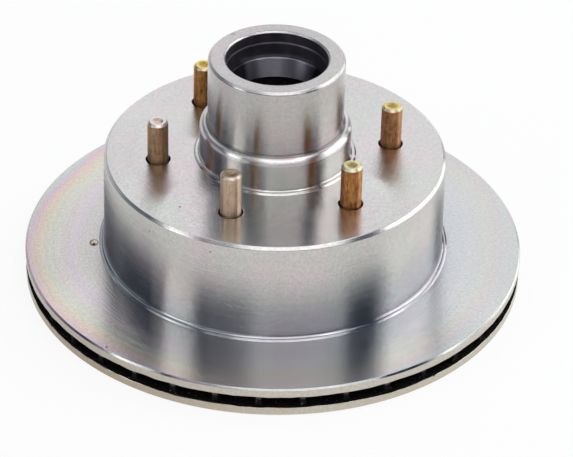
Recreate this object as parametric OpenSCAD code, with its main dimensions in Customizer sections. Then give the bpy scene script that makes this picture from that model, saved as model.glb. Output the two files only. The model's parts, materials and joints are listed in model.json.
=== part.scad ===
// Hub rotor: a trailer wheel hub and vented brake rotor cast and turned as one piece,
// with six pressed-in wheel studs and two pressed-in bearing cups.
// It stands on its inboard friction face. The hub axis is Z, and z = 0 is that face.

/* [Friction ring] */
// Diameter over the friction ring
rotor_d = 300; // [285:1:330]
// Thickness over both plates
ring_t = 18.5; // [16:0.5:30]
// Thickness of each friction plate
plate_t = 5.6; // [4.5:0.1:7]
// Inner diameter of the inboard plate
ring_bore_d = 192; // [189:1:200]
// Chamfer on the outer edge of each plate
ring_chamfer = 1; // [0.3:0.1:2]

/* [Vanes] */
// Number of vanes between the plates
vane_count = 37; // [24:1:48]
// Thickness of one vane
vane_t = 3.4; // [2.5:0.1:6]
// Radius of the cast fillet where a vane meets a plate
vane_fillet_r = 2.2; // [0.5:0.1:2.4]
// How far the vanes stop short of the rim
vane_setback = 2; // [0.5:0.5:8]
// How far the vanes start outside the inboard plate's bore
vane_inlet = 5; // [1:0.5:12]
// Angle of the first vane, from the front of the rotor
vane_turn = 7.67; // [0:0.01:10]

/* [Hat] */
// Diameter of the hat at its foot
hat_foot_d = 205; // [202:0.5:215]
// Diameter of the hat at its top edge
hat_top_d = 203.4; // [200:0.1:205]
// Height of the wheel face above the outboard friction face
hat_h = 62.8; // [45:0.1:80]
// Thickness of the hat's side wall
hat_wall = 8; // [6:0.5:9]
// Thickness of the wheel flange
flange_t = 12.5; // [10:0.5:18]
// Chamfer on the hat's top edge
hat_chamfer = 1.65; // [0.5:0.05:3]
// Radius of the fillet at the foot of the hat
hat_fillet_r = 1.8; // [0.5:0.1:3]
// Radius of the cast fillets inside the hat
core_fillet_r = 6; // [2:0.5:8]

/* [Turned lands] */
// Height of the turned land at the foot of the hat and of the hub
land_h = 0.9; // [0.3:0.1:2]
// Width of the land at the foot of the hat
hat_land_w = 3; // [2.5:0.1:5]
// Width of the land at the foot of the hub
hub_land_w = 3.2; // [2.5:0.1:5]
// Radius of the fillet at the foot of the hub
hub_fillet_r = 1.2; // [0.5:0.1:1.5]

/* [Hub] */
// Diameter of the hub above the wheel face, which the wheel is centred on
pilot_d = 90; // [86:0.5:96]
// Height of the shoulder above the wheel face
pilot_h = 21.5; // [12:0.5:30]
// Radius that rounds the shoulder's edge
shoulder_r = 2.4; // [0.5:0.1:3]
// Diameter of the snout
snout_d = 80.4; // [78:0.1:82]
// Height of the snout's end above the wheel face
snout_h = 64.4; // [55:0.1:75]
// Chamfer on the snout's outer edge
snout_chamfer = 1.5; // [0.5:0.1:2.5]
// Radius of the fillet at the foot of the snout
snout_fillet_r = 1.6; // [0.5:0.1:2]
// Outer diameter of the barrel at its inboard end
barrel_d = 106; // [104:1:112]
// How much wider the barrel is at the flange, as cast
barrel_draft = 2; // [0:0.5:4]
// How far the barrel's end lies inside the inboard friction face
barrel_recess = 2; // [0.5:0.5:6]
// Chamfer on the edges of the barrel's end
barrel_chamfer = 1; // [0.3:0.1:2]

/* [Bores] */
// Diameter of the bore for the grease cap
cap_bore_d = 60.2; // [60:0.1:62]
// Depth of the bore for the grease cap
cap_bore_l = 7; // [4:0.1:12]
// Chamfer at the mouth of the grease cap's bore
cap_chamfer = 0.95; // [0.5:0.05:2]
// Height of the taper that leads the outer cup into its bore
cup_lead_l = 1; // [0.5:0.1:2]
// Depth of the outer cup below the snout's end
outer_cup_depth = 16.6; // [14:0.1:22]
// Diameter of the bore for the grease seal
seal_bore_d = 85.75; // [84:0.05:88]
// Depth of the bore for the grease seal
seal_bore_l = 12; // [8:0.5:16]
// Diameter of the grease cavity between the cups
cavity_d = 66; // [60:1:68]
// Width of the seat behind each cup
cup_seat_w = 3; // [2:0.1:4]
// Height of the lip behind each cup
cup_lip_l = 5; // [3:0.5:8]

/* [Bearing cups] */
// Outside diameter of the outer cup
outer_cup_d = 59.13; // [57:0.01:59.2]
// Width of the outer cup
outer_cup_w = 11.81; // [10:0.01:14]
// Outside diameter of the inner cup
inner_cup_d = 82.93; // [80:0.01:83.5]
// Width of the inner cup
inner_cup_w = 19.05; // [16:0.01:22]
// Thickness of a cup at its open end
cup_lip_t = 1.75; // [1.2:0.05:2.5]
// Slope of a cup's raceway from the hub axis, in degrees
cup_slope = 12; // [8:0.5:15]
// Chamfer on a cup's edges
cup_chamfer = 0.6; // [0.2:0.1:1]

/* [Wheel studs] */
// Number of wheel studs
stud_count = 6; // [4:1:8]
// Diameter of the circle that the studs stand on
stud_circle_d = 139.7; // [135:0.1:150]
// Angle of the first stud, from the front of the rotor
stud_turn = -20.34; // [-30:0.01:30]
// Diameter over the thread
stud_d = 12.4; // [12:0.1:13]
// Diameter of the plain neck between the ribs and the thread
stud_neck_d = 11.7; // [10:0.1:11.7]
// Height of a stud above the wheel face
stud_h = 26.4; // [20:0.1:45]
// Diameter of the hole that the ribbed shank is pressed into
stud_hole_d = 14.5; // [14:0.1:16]
// Length of the ribbed shank
rib_l = 9.5; // [6:0.5:10]
// Number of ribs round the shank
rib_count = 24; // [12:1:30]
// Depth of the grooves between the ribs
rib_depth = 0.45; // [0.2:0.05:0.6]
// Diameter of a stud's head
stud_head_d = 19.5; // [18:0.5:24]
// Thickness of a stud's head
stud_head_t = 4.5; // [3:0.1:6]
// Chamfer on a stud's end
stud_chamfer = 1.3; // [0.5:0.1:2]
// Width of the dimple in a stud's end
dimple_d = 6.6; // [3:0.1:7]
// Depth of the dimple in a stud's end
dimple_depth = 0.8; // [0.3:0.1:1.2]
// Diameter of the cast boss behind each stud
boss_d = 27; // [25:1:32]
// Height of the cast boss behind each stud
boss_h = 2; // [1:0.5:4]

/* [Hidden] */
$fn = 180;
fine_fn = 48;
// Depth by which a shape runs into the one it joins, or a cutter past the one it cuts
bite = 0.5;
// How far a vane fillet's arc runs into its plate
arc_dip = 0.05;

STUD_NAMES = [for (i = [1 : stud_count]) str("wheel_stud_", i)];

rotor_r = rotor_d / 2;
ring_face_z = ring_t;
vent_h = ring_t - 2 * plate_t;
vent_top_z = ring_t - plate_t;
vane_in_r = ring_bore_d / 2 + vane_inlet;
vane_out_r = rotor_r - vane_setback;

wheel_face_z = ring_face_z + hat_h;
flange_back_z = wheel_face_z - flange_t;
hat_foot_r = hat_foot_d / 2;
hat_top_r = hat_top_d / 2;
hat_land_r = hat_foot_r + hat_land_w;
hat_core_foot_r = hat_foot_r - hat_wall;
hat_core_top_r = hat_top_r - hat_wall;

pilot_r = pilot_d / 2;
hub_land_r = pilot_r + hub_land_w;
shoulder_z = wheel_face_z + pilot_h;
snout_r = snout_d / 2;
snout_z = wheel_face_z + snout_h;
barrel_r = barrel_d / 2;
barrel_root_r = barrel_r + barrel_draft / 2;

cap_bore_r = cap_bore_d / 2;
cap_seat_z = snout_z - cap_bore_l;
outer_cup_r = outer_cup_d / 2;
outer_cup_seat_z = snout_z - outer_cup_depth - outer_cup_w;
seal_bore_r = seal_bore_d / 2;
seal_seat_z = barrel_recess + seal_bore_l;
inner_cup_r = inner_cup_d / 2;
inner_cup_seat_z = seal_seat_z + inner_cup_w;
outer_lip_r = outer_cup_r - cup_seat_w;
inner_lip_r = inner_cup_r - cup_seat_w;
cavity_r = cavity_d / 2;

stud_r = stud_d / 2;
stud_hole_r = stud_hole_d / 2;
stud_seat_z = flange_back_z - boss_h;
stud_end_z = wheel_face_z + stud_h;
dimple_ball_r = (pow(dimple_d / 2, 2) + pow(dimple_depth, 2)) / (2 * dimple_depth);

// The corner that a fillet fills, or that a rounded edge loses, at x, y towards dx, dy
module spandrel(x, y, r, dx, dy) {
    difference() {
        translate([min(x, x + dx * r), min(y, y + dy * r)]) square(r);
        translate([x + dx * r, y + dy * r]) circle(r);
    }
}

// Stands what follows at the first of count places on a circle, at angle turn from the front
module round_the_hub(count, turn, r) {
    for (i = [0 : count - 1])
        rotate(turn + i * 360 / count - 90) translate([r, 0, 0]) children();
}

// Half section of the inboard plate
module inboard_plate_section() {
    polygon([
        [ring_bore_d / 2, 0],
        [rotor_r - ring_chamfer, 0],
        [rotor_r, ring_chamfer],
        [rotor_r, plate_t],
        [ring_bore_d / 2, plate_t],
    ]);
}

// Half section of the outboard plate, the hat, the barrel and the snout, from the vent round
module hub_section_sharp() {
    polygon([
        [hat_core_foot_r, vent_top_z],
        [rotor_r, vent_top_z],
        [rotor_r, ring_face_z - ring_chamfer],
        [rotor_r - ring_chamfer, ring_face_z],
        [hat_land_r, ring_face_z],
        [hat_land_r - land_h, ring_face_z + land_h],
        [hat_foot_r, ring_face_z + land_h],
        [hat_top_r, wheel_face_z - hat_chamfer],
        [hat_top_r - hat_chamfer, wheel_face_z],
        [hub_land_r, wheel_face_z],
        [hub_land_r - land_h, wheel_face_z + land_h],
        [pilot_r, wheel_face_z + land_h],
        [pilot_r, shoulder_z],
        [snout_r, shoulder_z],
        [snout_r, snout_z - snout_chamfer],
        [snout_r - snout_chamfer, snout_z],
        [cap_bore_r + cap_chamfer, snout_z],
        [cap_bore_r, snout_z - cap_chamfer],
        [cap_bore_r, cap_seat_z],
        [outer_cup_r, cap_seat_z - cup_lead_l],
        [outer_cup_r, outer_cup_seat_z],
        [outer_lip_r, outer_cup_seat_z],
        [outer_lip_r, outer_cup_seat_z - cup_lip_l],
        [cavity_r, outer_cup_seat_z - cup_lip_l - (cavity_r - outer_lip_r)],
        [cavity_r, inner_cup_seat_z + cup_lip_l + (inner_lip_r - cavity_r)],
        [inner_lip_r, inner_cup_seat_z + cup_lip_l],
        [inner_lip_r, inner_cup_seat_z],
        [inner_cup_r, inner_cup_seat_z],
        [inner_cup_r, seal_seat_z],
        [seal_bore_r, seal_seat_z],
        [seal_bore_r, barrel_recess + barrel_chamfer],
        [seal_bore_r + barrel_chamfer, barrel_recess],
        [barrel_r - barrel_chamfer, barrel_recess],
        [barrel_r, barrel_recess + barrel_chamfer],
        [barrel_root_r, flange_back_z],
        [hat_core_top_r, flange_back_z],
    ]);
}

// The same section with its fillets filled and its shoulder rounded
module hub_section() {
    difference() {
        union() {
            hub_section_sharp();
            spandrel(hat_foot_r, ring_face_z + land_h, hat_fillet_r, 1, 1);
            spandrel(pilot_r, wheel_face_z + land_h, hub_fillet_r, 1, 1);
            spandrel(snout_r, shoulder_z, snout_fillet_r, 1, 1);
            spandrel(barrel_root_r, flange_back_z, core_fillet_r, 1, -1);
            spandrel(hat_core_top_r, flange_back_z, core_fillet_r, -1, -1);
        }
        spandrel(pilot_r, shoulder_z, shoulder_r, -1, -1);
    }
}

// Section of one vane across its length, with the cast fillets that flare it into both plates.
// The fillets' arcs cross the plates' faces at a small angle, since a mere touch has no clean edge.
module vane_section() {
    flare = vane_t / 2 + vane_fillet_r;
    arc_z = vent_h / 2 - vane_fillet_r + arc_dip;
    difference() {
        square([2 * flare, vent_h + 2 * bite], center = true);
        for (side = [-1, 1]) {
            for (up = [-1, 1]) translate([side * flare, up * arc_z]) circle(vane_fillet_r, $fn = fine_fn);
            translate([side * flare, 0]) square([2 * vane_fillet_r, 2 * arc_z], center = true);
        }
    }
}

module vanes() {
    round_the_hub(vane_count, vane_turn, vane_in_r)
        translate([0, 0, ring_t / 2])
            rotate([90, 0, 90]) linear_extrude(vane_out_r - vane_in_r) vane_section();
}

module stud_bosses() {
    round_the_hub(stud_count, stud_turn, stud_circle_d / 2)
        translate([0, 0, stud_seat_z]) cylinder(d = boss_d, h = boss_h + bite, $fn = fine_fn);
}

module stud_holes() {
    round_the_hub(stud_count, stud_turn, stud_circle_d / 2)
        translate([0, 0, stud_seat_z - bite])
            cylinder(d = stud_hole_d, h = flange_t + boss_h + 2 * bite, $fn = fine_fn);
}

// The casting: snout, barrel, hat, both friction plates and the vanes between them
module hub_rotor() {
    color("silver")
        difference() {
            union() {
                rotate_extrude() hub_section();
                rotate_extrude() inboard_plate_section();
                vanes();
                stud_bosses();
            }
            stud_holes();
        }
}

// A pressed-in bearing cup with its open end up and its back face at z = 0
module bearing_cup(r, w) {
    open_r = r - cup_lip_t;
    back_r = open_r - w * tan(cup_slope);
    rotate_extrude()
        polygon([
            [back_r + cup_chamfer, 0],
            [r - cup_chamfer, 0],
            [r, cup_chamfer],
            [r, w - cup_chamfer],
            [r - cup_chamfer, w],
            [open_r, w],
            [back_r, cup_chamfer],
        ]);
}

module outer_bearing_cup() {
    color("dimgray") translate([0, 0, outer_cup_seat_z]) bearing_cup(outer_cup_r, outer_cup_w);
}

module inner_bearing_cup() {
    color("dimgray")
        translate([0, 0, inner_cup_seat_z]) mirror([0, 0, 1]) bearing_cup(inner_cup_r, inner_cup_w);
}

// The shank that is pressed into the flange, with grooves that leave the ribs standing
module ribbed_shank() {
    groove_r = 0.4 * PI * stud_hole_r / rib_count;
    difference() {
        cylinder(r = stud_hole_r, h = rib_l);
        for (i = [0 : rib_count - 1])
            rotate(i * 360 / rib_count)
                translate([stud_hole_r - rib_depth + groove_r, 0, -bite])
                    cylinder(r = groove_r, h = rib_l + 2 * bite, $fn = fine_fn);
    }
}

// The stem in one turned outline: plain neck, thread from the wheel face up, and chamfered end
module stud_stem() {
    stem_l = stud_end_z - stud_seat_z;
    thread_z = wheel_face_z - stud_seat_z;
    rotate_extrude($fn = fine_fn)
        polygon([
            [0, 0],
            [stud_neck_d / 2, 0],
            [stud_neck_d / 2, thread_z],
            [stud_r, thread_z],
            [stud_r, stem_l - stud_chamfer],
            [stud_r - stud_chamfer, stem_l],
            [0, stem_l],
        ]);
}

// A wheel stud with its head's seat at z = 0
module wheel_stud() {
    difference() {
        union() {
            translate([0, 0, -stud_head_t]) cylinder(d = stud_head_d, h = stud_head_t, $fn = fine_fn);
            ribbed_shank();
            stud_stem();
        }
        translate([0, 0, stud_end_z - stud_seat_z - dimple_depth + dimple_ball_r])
            sphere(dimple_ball_r, $fn = fine_fn);
    }
}

module wheel_stud_at(i) {
    color("peru")
        rotate(stud_turn + i * 360 / stud_count - 90)
            translate([stud_circle_d / 2, 0, stud_seat_z]) wheel_stud();
}

hub_rotor();
outer_bearing_cup();
inner_bearing_cup();
for (i = [0 : stud_count - 1])
    wheel_stud_at(i);
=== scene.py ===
"""Looks of a wheel hub and vented brake rotor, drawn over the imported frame.

Every piece keeps the place and the form of its CAD node. What is added here is what a
camera sees and a solid doesn't hold: broken edges, threads, cast skin, turning marks,
plating, and the marks that this one has.

Lengths are in millimetres until a mesh is made, and the hub axis is Z.
"""

import json
import logging
import math
from collections.abc import Sequence
from dataclasses import dataclass, replace
from enum import IntEnum
from typing import Any

import bpy
import numpy as np
from mathutils import Matrix, Vector

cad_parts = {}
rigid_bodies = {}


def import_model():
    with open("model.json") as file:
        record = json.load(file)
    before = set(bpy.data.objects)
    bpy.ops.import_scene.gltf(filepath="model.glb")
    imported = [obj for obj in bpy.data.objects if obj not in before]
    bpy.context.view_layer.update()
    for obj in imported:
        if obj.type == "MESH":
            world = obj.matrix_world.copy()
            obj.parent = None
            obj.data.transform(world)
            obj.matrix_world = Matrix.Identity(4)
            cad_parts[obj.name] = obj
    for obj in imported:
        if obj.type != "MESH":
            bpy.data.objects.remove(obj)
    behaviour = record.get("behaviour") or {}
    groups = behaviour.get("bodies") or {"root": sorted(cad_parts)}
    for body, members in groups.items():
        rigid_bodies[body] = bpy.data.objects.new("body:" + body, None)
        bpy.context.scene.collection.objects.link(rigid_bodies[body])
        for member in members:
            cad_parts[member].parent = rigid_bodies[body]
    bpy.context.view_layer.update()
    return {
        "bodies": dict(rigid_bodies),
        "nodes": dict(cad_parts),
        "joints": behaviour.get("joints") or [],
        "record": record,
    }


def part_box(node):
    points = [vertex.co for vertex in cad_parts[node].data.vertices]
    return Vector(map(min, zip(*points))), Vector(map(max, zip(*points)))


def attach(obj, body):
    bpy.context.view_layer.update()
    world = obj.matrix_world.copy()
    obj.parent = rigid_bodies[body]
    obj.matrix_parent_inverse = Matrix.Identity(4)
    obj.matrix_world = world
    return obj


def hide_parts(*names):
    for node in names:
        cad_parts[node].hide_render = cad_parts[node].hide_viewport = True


LOG = logging.getLogger("hub_rotor")
MM = 0.001
ROOT_BODY = "root"


class Skin(IntEnum):
    """Which finish a wall of the casting has, as the index of its material.

    TURNED is what a lathe tool leaves, FORMED a rounded edge that shines, and EASED a corner that
    was broken and stays satin; on both the colour is painted brighter, a painted highlight. BORED
    is an oiled bore, CAST a plated cast wall, and VENT a cast wall that plating hardly reaches,
    painted near black as the shade in the vents and the hub's cavity.
    """

    TURNED = 0
    FORMED = 1
    BORED = 2
    CAST = 3
    VENT = 4
    EASED = 5


# Sizes that the frame gives


@dataclass(frozen=True)
class Mounts:
    """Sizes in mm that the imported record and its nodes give.

    Attributes:
        rotor_r: Radius over the friction ring.
        ring_face_z: Height of the outboard friction face.
        wheel_face_z: Height of the face that a wheel lies on.
        snout_z: Height of the snout's end.
        pilot_r: Radius of the hub that a wheel is centred on.
        cap_bore_r: Radius of the grease cap's bore.
        seal_bore_r: Radius of the grease seal's bore.
        stud_circle_r: Radius of the circle that the studs stand on.
        stud_r: Radius over a stud's thread.
        stud_angles: Each stud's angle round the hub, in radians from +X.
        stud_z: Lowest and highest point of a stud.
        outer_cup: Radius, lowest and highest point of the outer bearing cup.
        inner_cup: The same for the inner bearing cup.
    """

    rotor_r: float
    ring_face_z: float
    wheel_face_z: float
    snout_z: float
    pilot_r: float
    cap_bore_r: float
    seal_bore_r: float
    stud_circle_r: float
    stud_r: float
    stud_angles: tuple[float, ...]
    stud_z: tuple[float, float]
    outer_cup: tuple[float, float, float]
    inner_cup: tuple[float, float, float]

    @classmethod
    def read(cls, frame: dict[str, Any]) -> "Mounts":
        """Reads the sizes from the frame.


        Returns:
            The sizes, in mm and radians.
        """
        mounts = {m["name"]: m for m in frame["record"]["mounts"]}
        count = mounts["wheel_studs"]["dims"]["count"]
        low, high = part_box("hub_rotor")
        stud_boxes = [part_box(f"wheel_stud_{i + 1}") for i in range(count)]
        centres = [(np.array(lo) + np.array(hi)) / 2 for lo, hi in stud_boxes]
        return cls(
            rotor_r=round((high[1] - low[1]) / 2 / MM, 1),
            ring_face_z=mounts["outboard_friction_face"]["pos_m"][2] / MM,
            wheel_face_z=mounts["wheel_face"]["pos_m"][2] / MM,
            snout_z=high[2] / MM,
            pilot_r=mounts["wheel_pilot"]["dims"]["r_mm"],
            cap_bore_r=mounts["cap_bore"]["dims"]["r_mm"],
            seal_bore_r=mounts["seal_bore"]["dims"]["r_mm"],
            stud_circle_r=mounts["wheel_studs"]["dims"]["pcd_mm"] / 2,
            stud_r=mounts["wheel_studs"]["dims"]["stud_r_mm"],
            stud_angles=tuple(math.atan2(c[1], c[0]) for c in centres),
            stud_z=(stud_boxes[0][0][2] / MM, stud_boxes[0][1][2] / MM),
            outer_cup=cls._ring_box("outer_bearing_cup"),
            inner_cup=cls._ring_box("inner_bearing_cup"),
        )

    @staticmethod
    def _ring_box(node: str) -> tuple[float, float, float]:
        """Radius, lowest and highest point of a ring-shaped node, in mm."""
        low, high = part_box(node)
        return (high[1] - low[1]) / 2 / MM, low[2] / MM, high[2] / MM

    def stud_centres(self) -> list[tuple[float, float]]:
        """x, y of each stud's axis, in mm."""
        r = self.stud_circle_r
        return [(r * math.cos(a), r * math.sin(a)) for a in self.stud_angles]


# Turned and cast meshes

# An arc has a point at least this often, as an angle and in mm.
ARC_TURN = math.radians(30)
ARC_LENGTH = 0.35


@dataclass(frozen=True)
class Corner:
    """A corner of a section that is turned round an axis.

    Attributes:
        r: Distance from the axis.
        z: Height.
        rounding: Radius that the corner is broken or filled with.
        skin: Finish of the wall that starts here.
    """

    r: float
    z: float
    rounding: float = 0.25
    skin: int = Skin.TURNED


@dataclass(frozen=True)
class Station:
    """A point of a section whose corners are rounded, and the skin of the wall that starts there."""

    r: float
    z: float
    skin: int


def rounded(corners: Sequence[Corner], closed: bool = True) -> list[Station]:
    """Rounds each corner of a section with an arc.

    Args:
        corners: The section's sharp corners, in order.
        closed: Whether the last corner joins the first.

    Returns:
        The section's points. An arc takes the skin of the wall before it.
    """
    stations: list[Station] = []
    count = len(corners)
    places = np.array([(corner.r, corner.z) for corner in corners])
    walls = np.roll(places, -1, axis=0) - places
    lengths = np.linalg.norm(walls, axis=1)
    walls /= lengths[:, None]
    halves = [math.acos(float(np.clip(-walls[i - 1] @ walls[i], -1, 1))) / 2 for i in range(count)]
    sharp = [
        math.pi - 2 * half < math.radians(2) or (not closed and i in (0, count - 1))
        for i, half in enumerate(halves)
    ]
    wanted = [0.0 if sharp[i] else corners[i].rounding / math.tan(halves[i]) for i in range(count)]
    # Two roundings that share a wall shrink alike until both fit on it.
    fit = [min(1.0, 0.98 * lengths[i] / max(wanted[i] + wanted[(i + 1) % count], 1e-9)) for i in range(count)]
    for i, corner in enumerate(corners):
        reach = wanted[i] * min(fit[i - 1], fit[i])
        if sharp[i] or reach < 1e-6:
            stations.append(Station(corner.r, corner.z, corner.skin))
            continue
        u, v, half = -walls[i - 1], walls[i], halves[i]
        here, turn, radius = places[i], math.pi - 2 * half, reach * math.tan(half)
        centre = here + (u + v) / np.linalg.norm(u + v) * radius / math.sin(half)
        steps = max(2, math.ceil(turn / ARC_TURN), math.ceil(turn * radius / ARC_LENGTH))
        start = here + u * reach - centre
        sign = math.copysign(1.0, u[1] * v[0] - u[0] * v[1])
        for k in range(steps + 1):
            a = sign * turn * k / steps
            point = centre + np.array((
                start[0] * math.cos(a) - start[1] * math.sin(a),
                start[0] * math.sin(a) + start[1] * math.cos(a),
            ))
            skin = corner.skin if k == steps else corners[i - 1].skin
            stations.append(Station(float(point[0]), float(point[1]), skin))
    return stations


class Shell:
    """Points and faces of one mesh, gathered ring by ring in mm."""

    def __init__(self) -> None:
        """Starts with no points and no faces."""
        self._points: list[np.ndarray] = []
        self._count = 0
        self._faces: list[np.ndarray] = []
        self._skins: list[np.ndarray] = []

    def add(self, points: np.ndarray) -> np.ndarray:
        """Adds points.

        Args:
            points: One row of x, y, z for each point.

        Returns:
            The points' indices.
        """
        points = np.asarray(points, float).reshape(-1, 3)
        self._points.append(points)
        self._count += len(points)
        return np.arange(self._count - len(points), self._count)

    def at(self, indices: np.ndarray) -> np.ndarray:
        """Looks points up by their indices, one row of x, y, z for each."""
        return np.concatenate(self._points)[indices]

    def bearings(self, indices: np.ndarray, centre: tuple[float, float]) -> np.ndarray:
        """Measures the directions of points from an upright axis.

        Args:
            indices: The points' indices.
            centre: x, y of the axis.

        Returns:
            One angle from +X for each point, in radians.
        """
        points = self.at(indices)
        return np.arctan2(points[:, 1] - centre[1], points[:, 0] - centre[0])

    def strip(
        self, first: np.ndarray, second: np.ndarray, skin: int, closed: bool = True, flip: bool = False
    ) -> None:
        """Joins two rows of points with four-sided faces.

        Args:
            first: Indices of one row.
            second: Indices of the other, as many.
            skin: Material index.
            closed: Whether each row is a ring.
            flip: Turns the faces over.
        """
        if closed:
            a, b, c, d = first, np.roll(first, -1), np.roll(second, -1), second
        else:
            a, b, c, d = first[:-1], first[1:], second[1:], second[:-1]
        quads = np.stack((d, c, b, a) if flip else (a, b, c, d), axis=1)
        self._faces.append(quads)
        self._skins.append(np.full(len(quads), skin))

    def rows(
        self, rows: Sequence[np.ndarray], skins: Sequence[int], closed: bool = True, flip: bool = False
    ) -> None:
        """Joins each row of points to the next one, with the skin that its place gives."""
        for first, second, skin in zip(rows[:-1], rows[1:], skins):
            self.strip(first, second, skin, closed, flip)

    def object(self, name: str, materials: Sequence[bpy.types.Material]) -> bpy.types.Object:
        """Makes the mesh, in metres, with smooth shading that leaves flat walls flat.

        Each point's normal is the mean of the faces round it, weighted by their area, so a wide
        wall stays flat right up to the narrow arc that breaks its edge.

        Args:
            name: Name of the object and its mesh.
            materials: One for each skin in use.

        Returns:
            The new object, linked to the scene.
        """
        points = np.concatenate(self._points)
        quads = np.concatenate(self._faces)
        skins = np.concatenate(self._skins)
        corners = points[quads]
        areas = np.cross(corners[:, 2] - corners[:, 0], corners[:, 3] - corners[:, 1])
        normals = np.zeros_like(points)
        for k in range(4):
            np.add.at(normals, quads[:, k], areas)
        normals /= np.maximum(np.linalg.norm(normals, axis=1, keepdims=True), 1e-12)
        mesh = bpy.data.meshes.new(name)
        faces = [tuple(dict.fromkeys(q)) for q in quads.tolist()]
        kept = [i for i, f in enumerate(faces) if len(f) > 2]
        mesh.from_pydata((points * MM).tolist(), [], [faces[i] for i in kept])
        for material in materials:
            mesh.materials.append(material)
        mesh.polygons.foreach_set("material_index", skins[kept].astype(np.int32))
        mesh.polygons.foreach_set("use_smooth", np.ones(len(kept), bool))
        mesh.update()
        mesh.normals_split_custom_set_from_vertices(normals.tolist())
        piece = bpy.data.objects.new(name, mesh)
        bpy.context.scene.collection.objects.link(piece)
        return piece


def ring_points(
    r: np.ndarray | float, z: np.ndarray | float, angles: np.ndarray, centre: Sequence[float] = (0, 0)
) -> np.ndarray:
    """Points on a ring.

    Args:
        r: Radius, or one for each angle.
        z: Height, or one for each angle.
        angles: Angles from +X, in radians.
        centre: x, y of the ring's axis.

    Returns:
        One row of x, y, z for each angle.
    """
    x, y = centre[0] + r * np.cos(angles), centre[1] + r * np.sin(angles)
    return np.stack((x, y, np.broadcast_to(z, angles.shape)), axis=1)


@dataclass(frozen=True)
class Ragged:
    """An edge that sand moulding leaves uneven, where a cast wall meets a turned one.

    Attributes:
        r: The edge's radius.
        z: Its height.
        reach: How far from the edge a point still wanders.
        size: How far it wanders at most.
        seed: Picks the pattern.
    """

    r: float
    z: float
    reach: float
    size: float
    seed: int

    def wander(self, station: Station, angles: np.ndarray) -> tuple[np.ndarray | float, np.ndarray | float]:
        """Moves a ring's points when the ring is near the edge.

        Args:
            station: The section's point that the ring comes from.
            angles: The angles of the ring's points.

        Returns:
            Radius and height, one for each angle near the edge.
        """
        share = 1 - math.hypot(station.r - self.r, station.z - self.z) / self.reach
        if share <= 0:
            return station.r, station.z
        rng = np.random.default_rng(self.seed)
        rough = rng.normal(0, 1, (2, len(angles)))
        rough = np.tanh(0.5 * rough + 0.25 * (np.roll(rough, 1, axis=1) + np.roll(rough, -1, axis=1)))
        return station.r - self.size * share * np.abs(rough[0]), station.z + self.size * share * rough[1]


def turned_rings(
    shell: Shell,
    stations: Sequence[Station],
    angles: np.ndarray,
    closed: bool = True,
    ragged: Ragged | None = None,
) -> list[np.ndarray]:
    """Turns a section round the hub axis.

    Args:
        shell: Where the points and faces go.
        stations: The section's points, in order round the solid.
        angles: The angles of each ring's points.
        closed: Whether the last ring joins the first.
        ragged: A cast edge that wanders.

    Returns:
        Each ring's indices.
    """
    rings = []
    for station in stations:
        r, z = ragged.wander(station, angles) if ragged else (station.r, station.z)
        rings.append(shell.add(ring_points(r, z, angles)))
    skins = [station.skin for station in stations]
    shell.rows(rings + rings[:1] if closed else rings, skins)
    return rings


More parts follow.
